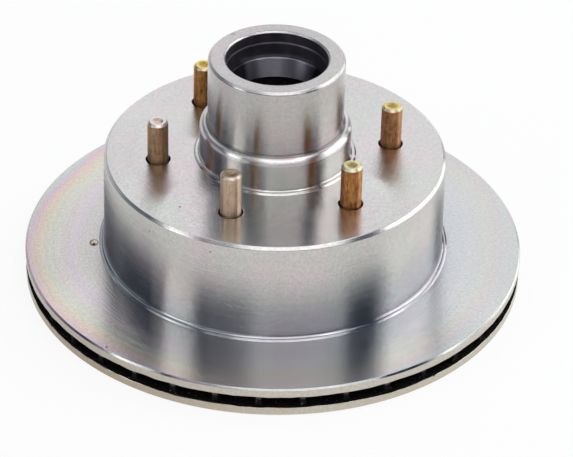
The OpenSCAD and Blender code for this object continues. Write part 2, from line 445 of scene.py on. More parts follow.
@dataclass
class HubRotor:
    """The casting: snout, barrel, hat, both friction plates and the vanes between them.

    Its sizes are in mm, with a radius where the part's source has a width across. A name ends in r
    for a radius, t for a thickness, h for a height, l for a length and w for a width.

    Attributes:
        sizes: What the frame gives.
        segments: Points in a ring, a multiple of the number of studs.
        land_h: Height of the narrow turned lands at the foot of the hub and of the hat.
        barrel_draft: How much wider the barrel is at its root.
        barrel_recess: How far the barrel ends above the floor.
        vane_turn: Direction of the first vane from +X, in radians.
        vane_setback: How far inside the rim the vanes end.
        vane_sink: How far the vanes reach into the plates.
        mouth_reach: How far from a vent's edge its casting is ragged.
        mouth_wander: How far it wanders there at most.
        hole_break: Width of the broken edge round a stud's hole.
    """

    sizes: Mounts
    segments: int = 336
    edge_break: float = 0.25
    plate_t: float = 5.6
    ring_chamfer: float = 1.0
    ring_bore_r: float = 96.0
    hat_foot_r: float = 102.5
    hat_top_r: float = 101.7
    hat_wall: float = 8.0
    flange_t: float = 12.5
    hat_chamfer: float = 1.65
    hat_fillet_r: float = 1.8
    core_fillet_r: float = 6.0
    land_h: float = 0.9
    hat_land_w: float = 3.0
    hub_land_w: float = 3.2
    hub_fillet_r: float = 1.2
    pilot_h: float = 21.5
    shoulder_r: float = 3.6
    snout_r: float = 40.2
    snout_chamfer: float = 1.5
    snout_fillet_r: float = 1.1
    barrel_r: float = 53.0
    barrel_draft: float = 1.0
    barrel_recess: float = 2.0
    barrel_chamfer: float = 1.0
    cap_bore_l: float = 7.0
    cap_chamfer: float = 0.95
    cup_lead_l: float = 1.0
    cavity_r: float = 33.0
    cup_seat_w: float = 3.0
    cup_lip_l: float = 5.0
    vane_count: int = 37
    vane_t: float = 3.4
    vane_fillet_r: float = 2.2
    vane_setback: float = 2.0
    vane_inlet: float = 5.0
    vane_turn: float = math.radians(7.67 - 90)
    vane_nose: float = 3.0
    vane_sink: float = 0.3
    vane_tail: float = 0.8
    mouth_reach: float = 0.6
    mouth_wander: float = 0.4
    stud_hole_r: float = 7.25
    hole_break: float = 0.35
    boss_r: float = 13.5
    boss_h: float = 2.0
    boss_edge: float = 0.8

    def build(self, materials: Sequence[bpy.types.Material]) -> bpy.types.Object:
        """Makes the casting's mesh.

        Args:
            materials: The finishes, in the order of Skin.

        Returns:
            The casting.
        """
        shell = Shell()
        angles = self._angles()
        self._hub(shell, angles)
        self._inboard_plate(shell, angles)
        for i in range(self.vane_count):
            self._vane(shell, self.vane_turn + math.tau * i / self.vane_count)
        return shell.object("hub_rotor_casting", materials)

    def _angles(self) -> np.ndarray:
        """The angles of a ring's points, which start half way between two studs."""
        start = self.sizes.stud_angles[0] - math.pi / len(self.sizes.stud_angles)
        return start + np.arange(self.segments) * math.tau / self.segments

    def _flange_back_z(self) -> float:
        """Height of the wheel flange's inner face."""
        return self.sizes.wheel_face_z - self.flange_t

    def _outside(self) -> list[Station]:
        """Section from the vent's outer edge round the rim, and up the hat to the wheel face."""
        s = self.sizes
        top, vent_z = s.ring_face_z, s.ring_face_z - self.plate_t
        land_r = self.hat_foot_r + self.hat_land_w
        return rounded([
            Corner(self.hat_foot_r - self.hat_wall, vent_z, skin=Skin.VENT),
            Corner(s.rotor_r, vent_z, self.edge_break),
            Corner(s.rotor_r, top - self.ring_chamfer, self.edge_break),
            Corner(s.rotor_r - self.ring_chamfer, top, self.edge_break),
            Corner(land_r, top, self.edge_break),
            Corner(land_r - self.land_h, top + self.land_h, self.edge_break),
            Corner(self.hat_foot_r, top + self.land_h, self.hat_fillet_r),
            Corner(self.hat_top_r, s.wheel_face_z - self.hat_chamfer, 0.6, Skin.FORMED),
            Corner(self.hat_top_r - self.hat_chamfer, s.wheel_face_z, 0.6),
            Corner(self.hat_top_r - self.hat_chamfer - 1.5, s.wheel_face_z),
        ], closed=False)

    def _inside(self) -> list[Station]:
        """Section from the wheel face up the hub and snout, down the bores and out along the barrel."""
        s = self.sizes
        face, seat_z = s.wheel_face_z, s.snout_z - self.cap_bore_l
        land_r, shoulder_z = s.pilot_r + self.hub_land_w, s.wheel_face_z + self.pilot_h
        cup_r, cup_seat_z, _ = s.outer_cup
        inner_r, seal_z, inner_seat_z = s.inner_cup
        lip_r, inner_lip_r = cup_r - self.cup_seat_w, inner_r - self.cup_seat_w
        slope_z = cup_seat_z - self.cup_lip_l - (self.cavity_r - lip_r)
        inner_slope_z = inner_seat_z + self.cup_lip_l + (inner_lip_r - self.cavity_r)
        end_z, end_c = self.barrel_recess, self.barrel_chamfer
        root_r, back_z = self.barrel_r + self.barrel_draft, self._flange_back_z()
        return rounded([
            Corner(land_r + 1.5, face),
            Corner(land_r, face, self.edge_break),
            Corner(land_r - self.land_h, face + self.land_h, self.edge_break),
            Corner(s.pilot_r, face + self.land_h, self.hub_fillet_r),
            Corner(s.pilot_r, shoulder_z - self.shoulder_r - 0.2, 0, Skin.FORMED),
            Corner(s.pilot_r, shoulder_z, self.shoulder_r, Skin.FORMED),
            Corner(self.snout_r, shoulder_z, self.snout_fillet_r),
            Corner(self.snout_r, s.snout_z - self.snout_chamfer, 1.2, Skin.EASED),
            Corner(self.snout_r - self.snout_chamfer, s.snout_z, 0.9),
            Corner(s.cap_bore_r + self.cap_chamfer, s.snout_z, 0.7, Skin.EASED),
            Corner(s.cap_bore_r, s.snout_z - self.cap_chamfer, 0.5, Skin.BORED),
            Corner(s.cap_bore_r, seat_z, 1.3, Skin.BORED),
            Corner(cup_r, seat_z - self.cup_lead_l, 1.3, Skin.BORED),
            Corner(cup_r, cup_seat_z, 0.1, Skin.BORED),
            Corner(lip_r, cup_seat_z, skin=Skin.VENT),
            Corner(lip_r, cup_seat_z - self.cup_lip_l, 1.0, Skin.VENT),
            Corner(self.cavity_r, slope_z, 2.0, Skin.VENT),
            Corner(self.cavity_r, inner_slope_z, 2.0, Skin.VENT),
            Corner(inner_lip_r, inner_seat_z + self.cup_lip_l, 1.0, Skin.BORED),
            Corner(inner_lip_r, inner_seat_z, 0.2, Skin.BORED),
            Corner(inner_r, inner_seat_z, 0.1, Skin.BORED),
            Corner(inner_r, seal_z, 0.1, Skin.BORED),
            Corner(s.seal_bore_r, seal_z, 0.2, Skin.BORED),
            Corner(s.seal_bore_r, end_z + end_c, 0.2),
            Corner(s.seal_bore_r + end_c, end_z, 0.2),
            Corner(self.barrel_r - end_c, end_z, 0.2, Skin.CAST),
            Corner(self.barrel_r, end_z + end_c, 0.6, Skin.CAST),
            Corner(root_r, back_z, self.core_fillet_r, Skin.CAST),
            Corner(root_r + self.core_fillet_r + 0.2, back_z, 0, Skin.CAST),
        ], closed=False)

    def _hollow(self) -> list[Station]:
        """Section of the hat's inside, from the flange's back down to the vents."""
        core_top_r = self.hat_top_r - self.hat_wall
        return rounded([
            Corner(core_top_r - self.core_fillet_r - 0.2, self._flange_back_z(), 0, Skin.CAST),
            Corner(core_top_r, self._flange_back_z(), self.core_fillet_r, Skin.CAST),
            Corner(self.hat_foot_r - self.hat_wall, self.sizes.ring_face_z - self.plate_t, 0, Skin.CAST),
        ], closed=False)

    def _hub(self, shell: Shell, angles: np.ndarray) -> None:
        """Turns the hub, hat and outboard plate, and pierces the flange for the studs."""
        vent_z = self.sizes.ring_face_z - self.plate_t
        vent_mouth = Ragged(self.sizes.rotor_r, vent_z, self.mouth_reach, self.mouth_wander, seed=11)
        outside = turned_rings(shell, self._outside(), angles, closed=False, ragged=vent_mouth)
        inside = turned_rings(shell, self._inside(), angles, closed=False)
        hollow = turned_rings(shell, self._hollow(), angles, closed=False)
        shell.strip(hollow[-1], outside[0], Skin.CAST)
        face_z, back_z = self.sizes.wheel_face_z, self._flange_back_z()
        upper = self._pierced_face(shell, outside[-1], inside[0], face_z, angles, self.hole_break, flip=False)
        lower = self._pierced_face(shell, hollow[0], inside[-1], back_z, angles, 0.0, flip=True)
        for top, bottom, centre in zip(upper, lower, self.sizes.stud_centres()):
            shell.strip(top, bottom, Skin.CAST)
            self._boss(shell, centre, shell.bearings(top, centre))

    def _pierced_face(
        self,
        shell: Shell,
        outer: np.ndarray,
        inner: np.ndarray,
        z: float,
        angles: np.ndarray,
        rim: float,
        flip: bool,
    ) -> list[np.ndarray]:
        """Fills the flat between two rings, with a round hole for each stud.

        Each stud has its own sector, whose outline is joined to the hole point by point.

        Args:
            shell: Where the faces go.
            outer: Indices of the flat's outer ring.
            inner: Indices of its inner ring.
            z: Height of the flat.
            angles: The rings' angles.
            rim: Radius that breaks the hole's edge.
            flip: Whether the flat looks down.

        Returns:
            The ring of each hole, below its broken edge.
        """
        outer_r, inner_r = (np.linalg.norm(shell.at(ring)[0, :2]) for ring in (outer, inner))
        count, spokes = len(self.sizes.stud_angles), 10
        per = self.segments // count
        skin = Skin.CAST if flip else Skin.TURNED
        radii = np.linspace(outer_r, inner_r, spokes + 2)[1:-1]
        sides = [
            shell.add(np.stack((radii * math.cos(a), radii * math.sin(a), np.full(spokes, z)), axis=1))
            for a in angles[::per]
        ]
        holes = []
        for k, centre in enumerate(self.sizes.stud_centres()):
            sector = (np.arange(per + 1) + k * per) % self.segments
            left, right = sides[k], sides[(k + 1) % count]
            loop = np.concatenate((outer[sector], right, inner[sector][::-1], left[::-1]))
            bearing = shell.bearings(loop, centre)
            edge = shell.add(ring_points(self.stud_hole_r + rim + 1.0, z, bearing, centre))
            rings = [edge, shell.add(ring_points(self.stud_hole_r + rim, z, bearing, centre))]
            if rim:
                for a in (math.pi / 6, math.pi / 3, math.pi / 2):
                    r, dip = self.stud_hole_r + rim * (1 - math.sin(a)), rim * (1 - math.cos(a))
                    rings.append(shell.add(ring_points(r, z - dip, bearing, centre)))
            shell.strip(loop, edge, skin, flip=flip)
            shell.rows(rings, [skin] * len(rings), flip=flip)
            holes.append(rings[-1])
        return holes

    def _boss(self, shell: Shell, centre: tuple[float, float], bearing: np.ndarray) -> None:
        """Adds the cast boss behind one stud, from its hole out and up into the flange."""
        back_z, edge = self._flange_back_z(), self.boss_edge
        low = back_z - self.boss_h
        path = [
            (self.stud_hole_r, back_z),
            (self.stud_hole_r, low),
            (self.boss_r - edge, low),
            (self.boss_r - edge * 0.3, low + edge * 0.3),
            (self.boss_r, low + edge),
            (self.boss_r + 0.3, back_z + 0.3),
        ]
        rings = [shell.add(ring_points(r, z, bearing, centre)) for r, z in path]
        shell.rows(rings, [Skin.CAST] * len(rings))

    def _inboard_plate(self, shell: Shell, angles: np.ndarray) -> None:
        """Turns the inboard friction plate."""
        s, c = self.sizes, self.ring_chamfer
        vent_mouth = Ragged(s.rotor_r, self.plate_t, self.mouth_reach, self.mouth_wander, seed=12)
        section = rounded([
            Corner(self.ring_bore_r, 0, 0.4),
            Corner(s.rotor_r - c, 0, self.edge_break),
            Corner(s.rotor_r, c, self.edge_break),
            Corner(s.rotor_r, self.plate_t, self.edge_break, Skin.VENT),
            Corner(self.ring_bore_r, self.plate_t, 0.8, Skin.CAST),
        ])
        turned_rings(shell, section, angles, ragged=vent_mouth)

    def _vane(self, shell: Shell, angle: float) -> None:
        """Adds one cast vane, which flares into both plates and has a rounded nose.

        Args:
            shell: Where the points and faces go.
            angle: The vane's angle round the hub, from +X.
        """
        floor_z, roof_z = self.plate_t, self.sizes.ring_face_z - self.plate_t
        z = np.linspace(floor_z - self.vane_sink, roof_z + self.vane_sink, 13)
        gap = np.clip(np.minimum(z - floor_z, roof_z - z), 0, self.vane_fillet_r)
        flare = self.vane_fillet_r - np.sqrt(self.vane_fillet_r**2 - (self.vane_fillet_r - gap) ** 2)
        inlet, outlet = self.ring_bore_r + self.vane_inlet, self.sizes.rotor_r - self.vane_setback
        nose_l, tail_l = self.vane_nose, self.vane_tail
        ends = np.concatenate((
            nose_l * (1 - np.cos(np.linspace(0, math.pi / 2, 7))),
            np.linspace(nose_l, outlet - inlet - tail_l, 5)[1:],
            outlet - inlet - tail_l + tail_l * np.sin(np.linspace(0, math.pi / 2, 4))[1:],
        ))
        nose = np.sqrt(np.clip(1 - (1 - ends / nose_l) ** 2, 0, 1)) * (ends < nose_l) + (ends >= nose_l)
        tail = np.clip((outlet - inlet - ends) / tail_l, 0, 1)
        half = self.vane_t / 2 * nose * (0.75 + 0.25 * np.sqrt(1 - (1 - tail) ** 2))
        along = np.array((math.cos(angle), math.sin(angle)))
        across = np.array((-math.sin(angle), math.cos(angle)))
        rows = []
        for x, w in zip(ends, half):
            width = np.concatenate((w + flare, -(w + flare)[::-1]))
            plan = (inlet + x) * along + width[:, None] * across
            rows.append(shell.add(np.column_stack((plan, np.concatenate((z, z[::-1]))))))
        shell.rows(rows, [Skin.VENT] * len(rows), flip=True)
        for row, flip in ((rows[0], True), (rows[-1], False)):
            shell.strip(row[: len(z)], row[len(z):][::-1], Skin.VENT, closed=False, flip=flip)


@dataclass
class BearingCup:
    """The outer ring of a tapered roller bearing, pressed into the hub.

    Attributes:
        name: Its node.
        radius: Radius over the ring, in mm.
        low_z: Height of its lower end.
        high_z: Height of its upper end.
        opens_up: Whether its wide end looks up.
        lip_t: Thickness at the wide end.
        slope: Slope of the raceway, in radians.
        chamfer: Width of its broken edges.
        segments: Points in a ring.
    """

    name: str
    radius: float
    low_z: float
    high_z: float
    opens_up: bool
    lip_t: float = 1.75
    slope: float = math.radians(12)
    chamfer: float = 0.6
    segments: int = 288

    def build(self, finish: bpy.types.Material) -> bpy.types.Object:
        """Makes the cup's mesh, with its raceway wider at the open end.

        Args:
            finish: The ground steel.

        Returns:
            The cup.
        """
        width = self.high_z - self.low_z
        open_r = self.radius - self.lip_t
        back_r = open_r - width * math.tan(self.slope)
        c = self.chamfer
        section = [
            (back_r + c, 0),
            (self.radius - c, 0),
            (self.radius, c),
            (self.radius, width - c),
            (self.radius - c, width),
            (open_r, width),
            (back_r, c),
        ]
        if not self.opens_up:
            section = [(r, width - z) for r, z in reversed(section)]
        corners = [Corner(r, self.low_z + z, 0.18) for r, z in section]
        shell = Shell()
        turned_rings(shell, rounded(corners), np.arange(self.segments) * math.tau / self.segments)
        return shell.object(self.name + "_ring", [finish])


@dataclass
class WheelStud:
    """A pressed-in wheel stud: head, ribbed shank, neck and rolled thread.

    Attributes:
        name: Its node.
        centre: x, y of its axis, in mm.
        low_z: Height of its head's inner end.
        high_z: Height of its end.
        wheel_face_z: Height of the face that a wheel lies on.
        thread_r: Radius over the thread.
        rib_l: Length of the ribs, from the head on.
        neck_r: Radius between ribs and thread.
        pitch: Height of one turn of the thread.
        run_out: How far below the wheel face the thread starts.
        segments: Points in a ring.
        rings_per_turn: Rings in one turn of the thread.
    """

    name: str
    centre: tuple[float, float]
    low_z: float
    high_z: float
    wheel_face_z: float
    thread_r: float
    head_r: float = 9.75
    head_t: float = 4.5
    shank_r: float = 7.25
    rib_l: float = 9.5
    rib_count: int = 24
    rib_depth: float = 0.45
    neck_r: float = 5.85
    pitch: float = 1.27
    thread_depth: float = 0.2
    run_out: float = 1.2
    chamfer: float = 1.3
    dimple_r: float = 3.3
    dimple_depth: float = 0.8
    segments: int = 96
    rings_per_turn: int = 8

    def build(self, finish: bpy.types.Material) -> bpy.types.Object:
        """Makes the stud's mesh from its head up to the dimple in its end.

        Args:
            finish: The plated steel.

        Returns:
            The stud.
        """
        shell = Shell()
        angles = np.arange(self.segments) * math.tau / self.segments
        rows = [
            shell.add(ring_points(self._radius(r, z, angles), z, angles, self.centre))
            for r, z in self._path()
        ]
        shell.rows(rows, [0] * len(rows))
        return shell.object(self.name + "_threaded", [finish])

    def _path(self) -> list[tuple[float, float]]:
        """Radius and height of each ring, from the middle of the head to the middle of the dimple."""
        seat, top = self.low_z + self.head_t, self.high_z
        rib_end = seat + self.rib_l
        head = rounded([
            Corner(0.02, self.low_z),
            Corner(self.head_r, self.low_z, 0.9),
            Corner(self.head_r, seat, 0.4),
            Corner(self.shank_r - 0.2, seat, 0.15),
            Corner(self.shank_r, seat + 0.3, 0.1),
            Corner(self.shank_r, rib_end - 0.5, 0.1),
            Corner(self.shank_r - 0.5, rib_end, 0.1),
            Corner(self.neck_r, rib_end, 0.4),
            Corner(self.neck_r, self.wheel_face_z - self.run_out - 0.4),
        ], closed=False)
        start, end = self.wheel_face_z - self.run_out, top - self.chamfer
        count = round((end - start) / self.pitch * self.rings_per_turn)
        thread = [(self.thread_r, z) for z in np.linspace(start, end, count)]
        shares = (0.15, 0.3, 0.45, 0.6, 0.75, 0.88)
        nose = [(self.thread_r - self.chamfer * t, end + self.chamfer * t) for t in shares]
        ball = (self.dimple_r**2 + self.dimple_depth**2) / (2 * self.dimple_depth)
        face = [
            (self.thread_r - self.chamfer - 0.06, top - 0.02),
            (self.thread_r - self.chamfer - 0.25, top),
            (self.dimple_r + 0.35, top),
            (self.dimple_r + 0.12, top - 0.02),
        ]
        dimple = [
            (r, top - self.dimple_depth + ball - math.sqrt(ball**2 - r**2))
            for r in np.linspace(self.dimple_r - 0.15, 0.02, 9)
        ]
        return [(s.r, s.z) for s in head] + thread + nose + face + dimple

    def _radius(self, r: float, z: float, angles: np.ndarray) -> np.ndarray:
        """Radius round one ring, with the ribs' grooves or the thread's turns cut into it.

        Args:
            r: The ring's radius without them.
            z: Its height.
            angles: The angles of its points.

        Returns:
            One radius for each angle.
        """
        seat = self.low_z + self.head_t
        if seat < z < seat + self.rib_l and r > self.shank_r - 0.6:
            groove = 0.5 - 0.5 * np.cos(self.rib_count * angles)
            return r - self.rib_depth * np.clip(groove * 1.6 - 0.3, 0, 1)
        if z < self.wheel_face_z - self.run_out or r < self.thread_r - self.chamfer:
            return np.full(angles.shape, r)
        turn = z / self.pitch - angles / math.tau
        cut = self.thread_depth * (0.5 - 0.5 * np.cos(math.tau * turn))
        return np.minimum(r, self.thread_r - cut)


# Finishes


def linear(code: str) -> tuple[float, float, float, float]:
    """Turns an sRGB hex colour such as "c8b090" to linear red, green, blue and alpha."""
    values = (int(code[i:i + 2], 16) / 255 for i in (0, 2, 4))
    red, green, blue = (v / 12.92 if v <= 0.04045 else ((v + 0.055) / 1.055) ** 2.4 for v in values)
    return red, green, blue, 1.0


def add_node(
    tree: bpy.types.NodeTree, kind: str, inputs: dict[Any, Any] | None = None, out: Any = 0, **settings: Any
) -> bpy.types.NodeSocket:
    """Adds a node to a tree, with its settings and links.

    Args:
        tree: The node tree.
        kind: The node's type without "ShaderNode", such as "TexNoise".
        inputs: Socket name or number, to a value or to the output socket that feeds it.
        out: Name or number of the output socket to return.
        **settings: Properties of the node. "stops" fills a colour ramp with (place, hex) pairs.

    Returns:
        One output socket of the node.
    """
    node = tree.nodes.new("ShaderNode" + kind)
    for place, code in settings.pop("stops", ()):
        stops = node.color_ramp.elements
        stop = stops[0] if place == 0 else stops[-1] if place == 1 else stops.new(place)
        stop.color = linear(code)
    for key, value in settings.items():
        setattr(node, key, value)
    for key, value in (inputs or {}).items():
        if isinstance(value, bpy.types.NodeSocket):
            tree.links.new(value, node.inputs[key])
        else:
            node.inputs[key].default_value = value
    return node.outputs[out] if len(node.outputs) else None


def span(
    tree: bpy.types.NodeTree,
    value: bpy.types.NodeSocket,
    start: float,
    end: float,
    low: float = 0.0,
    high: float = 1.0,
    smooth: bool = False,
) -> bpy.types.NodeSocket:
    """Turns a value that runs from start to end into one that runs from low to high.

    Args:
        tree: The node tree.
        value: The value.
        start: Where it gives low.
        end: Where it gives high.
        low: What comes out up to the start.
        high: What comes out from the end on.
        smooth: Whether both ends are eased.

    Returns:
        The new value.
    """
    inputs = {"Value": value, "From Min": start, "From Max": end, "To Min": low, "To Max": high}
    return add_node(tree, "MapRange", inputs, interpolation_type="SMOOTHSTEP" if smooth else "LINEAR")


def mix(tree: bpy.types.NodeTree, share: Any, first: Any, second: Any) -> bpy.types.NodeSocket:
    """Mixes two colours.

    Args:
        tree: The node tree.
        share: How much of the second one shows.
        first: The first colour.
        second: The second one.

    Returns:
        The mixed colour.
    """
    return add_node(tree, "Mix", {"Factor": share, "A": first, "B": second}, out=2, data_type="RGBA")


def noise(
    tree: bpy.types.NodeTree,
    where: bpy.types.NodeSocket,
    scale: float,
    detail: float,
    roughness: float = 0.5,
    line: bool = False,
) -> bpy.types.NodeSocket:
    """Makes cloudy noise, whose values lie round 0.5.

    Args:
        tree: The node tree.
        where: The point, or the place along a line.
        scale: How many clouds there are to a millimetre.
        detail: How many finer layers they have.
        roughness: How strong the finer layers are.
        line: Whether the noise changes along a line alone.

    Returns:
        The noise.
    """
    inputs = {"W" if line else "Vector": where, "Scale": scale, "Detail": detail, "Roughness": roughness}
    return add_node(tree, "TexNoise", inputs, noise_dimensions="1D" if line else "3D")


def ramp(
    tree: bpy.types.NodeTree, value: bpy.types.NodeSocket, stops: Sequence[tuple[float, str]]
) -> bpy.types.NodeSocket:
    """Turns a value from 0 to 1 into a colour, by stops that each hold a place and a colour."""
    return add_node(tree, "ValToRGB", {"Fac": value}, stops=stops)


def bump(tree: bpy.types.NodeTree, height: bpy.types.NodeSocket, depth: float) -> bpy.types.NodeSocket:
    """Tilts the surface as if it rose and fell by a depth in mm."""
    return add_node(tree, "Bump", {"Height": height, "Strength": 1.0, "Distance": depth * MM})


def stretched(tree: bpy.types.NodeTree, amount: float) -> dict[str, Any]:
    """What a shader needs for highlights that grooves round the hub axis stretch."""
    return {
        "Anisotropic": amount,
        "Anisotropic Rotation": 0.25,
        "Tangent": add_node(tree, "Tangent", direction_type="RADIAL", axis="Z"),
    }


class Place:
    """Where a point of the part lies, as sockets in millimetres that patterns are drawn from.

    Attributes:
        point: x, y, z.
        r: Distance from the hub axis.
        z: Height.
    """

    def __init__(self, tree: bpy.types.NodeTree) -> None:
        """Adds the nodes that measure the place.

        Args:
            tree: The material's node tree.
        """
        metres = add_node(tree, "TexCoord", out="Object")
        self.point = add_node(tree, "VectorMath", {0: metres, "Scale": 1 / MM}, operation="SCALE")
        flat = add_node(tree, "VectorMath", {0: self.point, 1: (1, 1, 0)}, operation="MULTIPLY")
        self.r = add_node(tree, "VectorMath", {0: flat}, out="Value", operation="LENGTH")
        self.z = add_node(tree, "SeparateXYZ", {0: self.point}, out="Z")


@dataclass(frozen=True)
class Finish:
    """What every finish shares: a name and one shader, which its subclass dresses.

    Attributes:
        name: Name of the material.
        colour: Its main colour.
        roughness: How far it blurs what it reflects.
    """

    name: str
    colour: str
    roughness: float

    def material(self) -> bpy.types.Material:
        """Makes the material."""
        material = bpy.data.materials.new(self.name)
        material.use_nodes = True
        tree = material.node_tree
        tree.nodes.clear()
        add_node(tree, "OutputMaterial", {"Surface": add_node(tree, "BsdfPrincipled", self.dress(tree))})
        return material

    def dress(self, tree: bpy.types.NodeTree) -> dict[str, Any]:
        """Draws the finish's patterns.

        Args:
            tree: The material's node tree.

        Returns:
            What goes into the shader's sockets.
        """
        raise NotImplementedError


@dataclass(frozen=True)
class Mark:
    """A speck, nick or pit on the plating.

    Attributes:
        centre: x, y, z of its middle, in mm.
        radius: Its reach along x, y and z, in mm.
        colour: Its colour.
        strength: How much of the plating's colour it hides.
    """

    centre: tuple[float, float, float]
    radius: tuple[float, float, float]
    colour: str
    strength: float = 1.0

    def cover(self, tree: bpy.types.NodeTree, place: Place) -> bpy.types.NodeSocket:
        """How much of the plating's colour the mark hides at a point, with a soft edge."""
        reach = add_node(tree, "VectorMath", {0: place.point, 1: self.centre}, operation="SUBTRACT")
        reach = add_node(tree, "VectorMath", {0: reach, 1: self.radius}, operation="DIVIDE")
        reach = add_node(tree, "VectorMath", {0: reach}, out="Value", operation="LENGTH")
        return span(tree, reach, 1.15, 0.75, high=self.strength, smooth=True)


@dataclass(frozen=True)
class TurnedZinc(Finish):
    """Clear chromated zinc on turned grey iron.

    Turning leaves fine grooves round the axis, so a highlight stretches across them, into bands
    that run up a wall and on over the face beside it. The clear film gives faint pastel colours,
    strongest towards the rim, where the plating is thickest.

    Attributes:
        stretch: How far the grooves stretch a highlight.
        feed_mm: Distance from groove to groove, as drawn.
        groove_depth: Depth of a groove, in mm.
        bands: The film's colours over the friction face, from the hat out to the rim.
        clear: The same where the film drained off.
        patches: Its colours elsewhere, on both sides of the main one.
        drain: The way that the film drained, as x, y, z.
        low_tint: What a colour is multiplied by low on the hat, which makes it darker and bluer.
        low_rim: Colours of the inboard plate's rim, where film stayed and where it drained off.
        top_rim: The same for the outboard plate's rim.
        rotor_r: Radius over the friction ring, in mm.
        corner: Radius and height of the snout's foot, in mm, round which painted shade darkens the inside
            corner.
        painted_highlight_gain: How much brighter the colour is painted than on a turned face, as a painted
            highlight.
        marks: What lies on the plating.
    """

    name: str = "clear_zinc_on_turned_iron"
    colour: str = "c5c2bf"
    roughness: float = 0.19
    stretch: float = 0.95
    feed_mm: float = 0.9
    groove_depth: float = 0.05
    bands: tuple[tuple[float, str], ...] = (
        (0, "beb9b6"), (0.2, "c0bcb8"), (0.34, "c6bdc1"), (0.46, "c8c1bc"), (0.6, "c5c5bb"),
        (0.7, "cac4b3"), (0.82, "cebbb1"), (0.9, "c8b5bc"), (1, "bac4bc"),
    )
    clear: tuple[tuple[float, str], ...] = ((0, "bfc2c4"), (1, "c2c3c0"))
    patches: tuple[str, str, str, str] = ("bfc3ba", "c3c3be", "c9c1c0", "c9bdbf")
    drain: tuple[float, float, float] = (1.0, -0.4, 0.0)
    low_tint: tuple[float, float, float, float] = (0.76, 0.8, 0.85, 1.0)
    low_rim: tuple[str, str] = ("a89a87", "c9c4b4")
    top_rim: tuple[str, str] = ("b3ab9f", "cac4bb")
    rotor_r: float = 0.0
    corner: tuple[float, float] = (0.0, 0.0)
    painted_highlight_gain: float = 1.0
    marks: tuple[Mark, ...] = ()

    def dress(self, tree: bpy.types.NodeTree) -> dict[str, Any]:
        """Draws the grooves, the film's colours, the clouds in the plating and the marks."""
        place = Place(tree)
        # Grooves lie side by side along r on a face and along z on a wall. A tool's feed of about
        # 0.25 mm a turn is too fine to show, so the grooves are drawn at feed_mm.
        along = add_node(tree, "Math", {0: place.z, 1: 1.7, 2: place.r}, operation="MULTIPLY_ADD")
        grooves = noise(tree, along, 1 / self.feed_mm, 3.0, 0.6, line=True)
        swell = noise(tree, along, 0.11, 2.0, line=True)
        clouds = noise(tree, place.point, 0.03, 4.0, 0.6)
        grain = noise(tree, place.point, 0.6, 3.0, 0.7)
        film = self._film(tree, place, clouds)
        # On rounded and broken edges the colour is painted brighter than on a turned face: a painted
        # highlight.
        colour = add_node(tree, "VectorMath", {0: film, "Scale": self.painted_highlight_gain}, operation="SCALE")
        shade = span(tree, grain, 0.3, 0.7, 0.89, 1.07)
        colour = add_node(tree, "VectorMath", {0: colour, "Scale": shade}, operation="SCALE")
        for mark in self.marks:
            colour = mix(tree, mark.cover(tree, place), colour, linear(mark.colour))
        base = self.roughness - 0.05
        rough = add_node(tree, "Math", {0: swell, 1: 0.06, 2: base}, operation="MULTIPLY_ADD")
        rough = add_node(tree, "Math", {0: clouds, 1: 0.04, 2: rough}, operation="MULTIPLY_ADD")
        return {
            "Base Color": colour,
            "Metallic": 1.0,
            "Roughness": rough,
            "Normal": bump(tree, grooves, self.groove_depth),
            **stretched(tree, self.stretch),
        }

    def _film(
        self, tree: bpy.types.NodeTree, place: Place, clouds: bpy.types.NodeSocket
    ) -> bpy.types.NodeSocket:
        """The chromate film's colours: bands on the friction face, soft patches elsewhere."""
        # The film drained to one side while it was wet, so its colours fade that way.
        inputs = {0: place.point, 1: self.drain}
        drained = add_node(tree, "VectorMath", inputs, out="Value", operation="DOT_PRODUCT")
        drained = span(tree, drained, -60.0, 80.0, high=0.75)
        # The friction face begins outside the hat, whose side is at most 102.5 mm from the axis.
        outside = span(tree, place.r, 104.0, 108.0)
        film = mix(tree, outside, self._patches(tree, place, clouds), self._bands(tree, place, drained))
        # The rim is left as the lathe's roughing cut left it, so its two bands are duller and warmer.
        low, top = (mix(tree, drained, linear(a), linear(b)) for a, b in (self.low_rim, self.top_rim))
        rim = mix(tree, span(tree, place.z, 5.0, 13.0), low, top)
        return mix(tree, span(tree, place.r, self.rotor_r - 0.4, self.rotor_r - 0.1), film, rim)

    def _bands(
        self, tree: bpy.types.NodeTree, place: Place, drained: bpy.types.NodeSocket
    ) -> bpy.types.NodeSocket:
        """Colours over the friction face, which wander a little and fade where the film drained."""
        drift = noise(tree, place.point, 0.011, 1.0)
        reach = add_node(tree, "Math", {0: drift, 1: 22.0, 2: place.r}, operation="MULTIPLY_ADD")
        bands = ramp(tree, span(tree, reach, 116.0, 161.0), self.bands)
        clear = ramp(tree, span(tree, place.r, 112.0, 136.0), self.clear)
        return mix(tree, drained, bands, clear)

    def _patches(
        self, tree: bpy.types.NodeTree, place: Place, clouds: bpy.types.NodeSocket
    ) -> bpy.types.NodeSocket:
        """Soft patches, darker and bluer low on the hat and darker up the snout, with painted shade in the
        inside corner at the snout's foot.
        """
        snout = span(tree, place.z, 102.0, 106.0, 1.0, 0.83)
        # Painted shade: the colour is darkened in the inside corner at the snout's foot.
        foot = add_node(tree, "CombineXYZ", {"X": place.r, "Y": place.z})
        inputs = {0: foot, 1: (*self.corner, 0)}
        foot = add_node(tree, "VectorMath", inputs, out="Value", operation="DISTANCE")
        foot = span(tree, foot, 0.9, 1.7, 0.35, 1.0)
        dull = add_node(tree, "Math", {0: snout, 1: foot}, operation="MULTIPLY")
        green, pale, pink, mauve = self.patches
        stops = ((0, green), (0.38, pale), (0.5, self.colour), (0.58, pink), (1, mauve))
        patches = ramp(tree, clouds, stops)
        patches = add_node(tree, "VectorMath", {0: patches, "Scale": dull}, operation="SCALE")
        tint = mix(tree, span(tree, place.z, 30.0, 66.0), self.low_tint, (1, 1, 1, 1))
        return add_node(tree, "VectorMath", {0: patches, 1: tint}, operation="MULTIPLY")


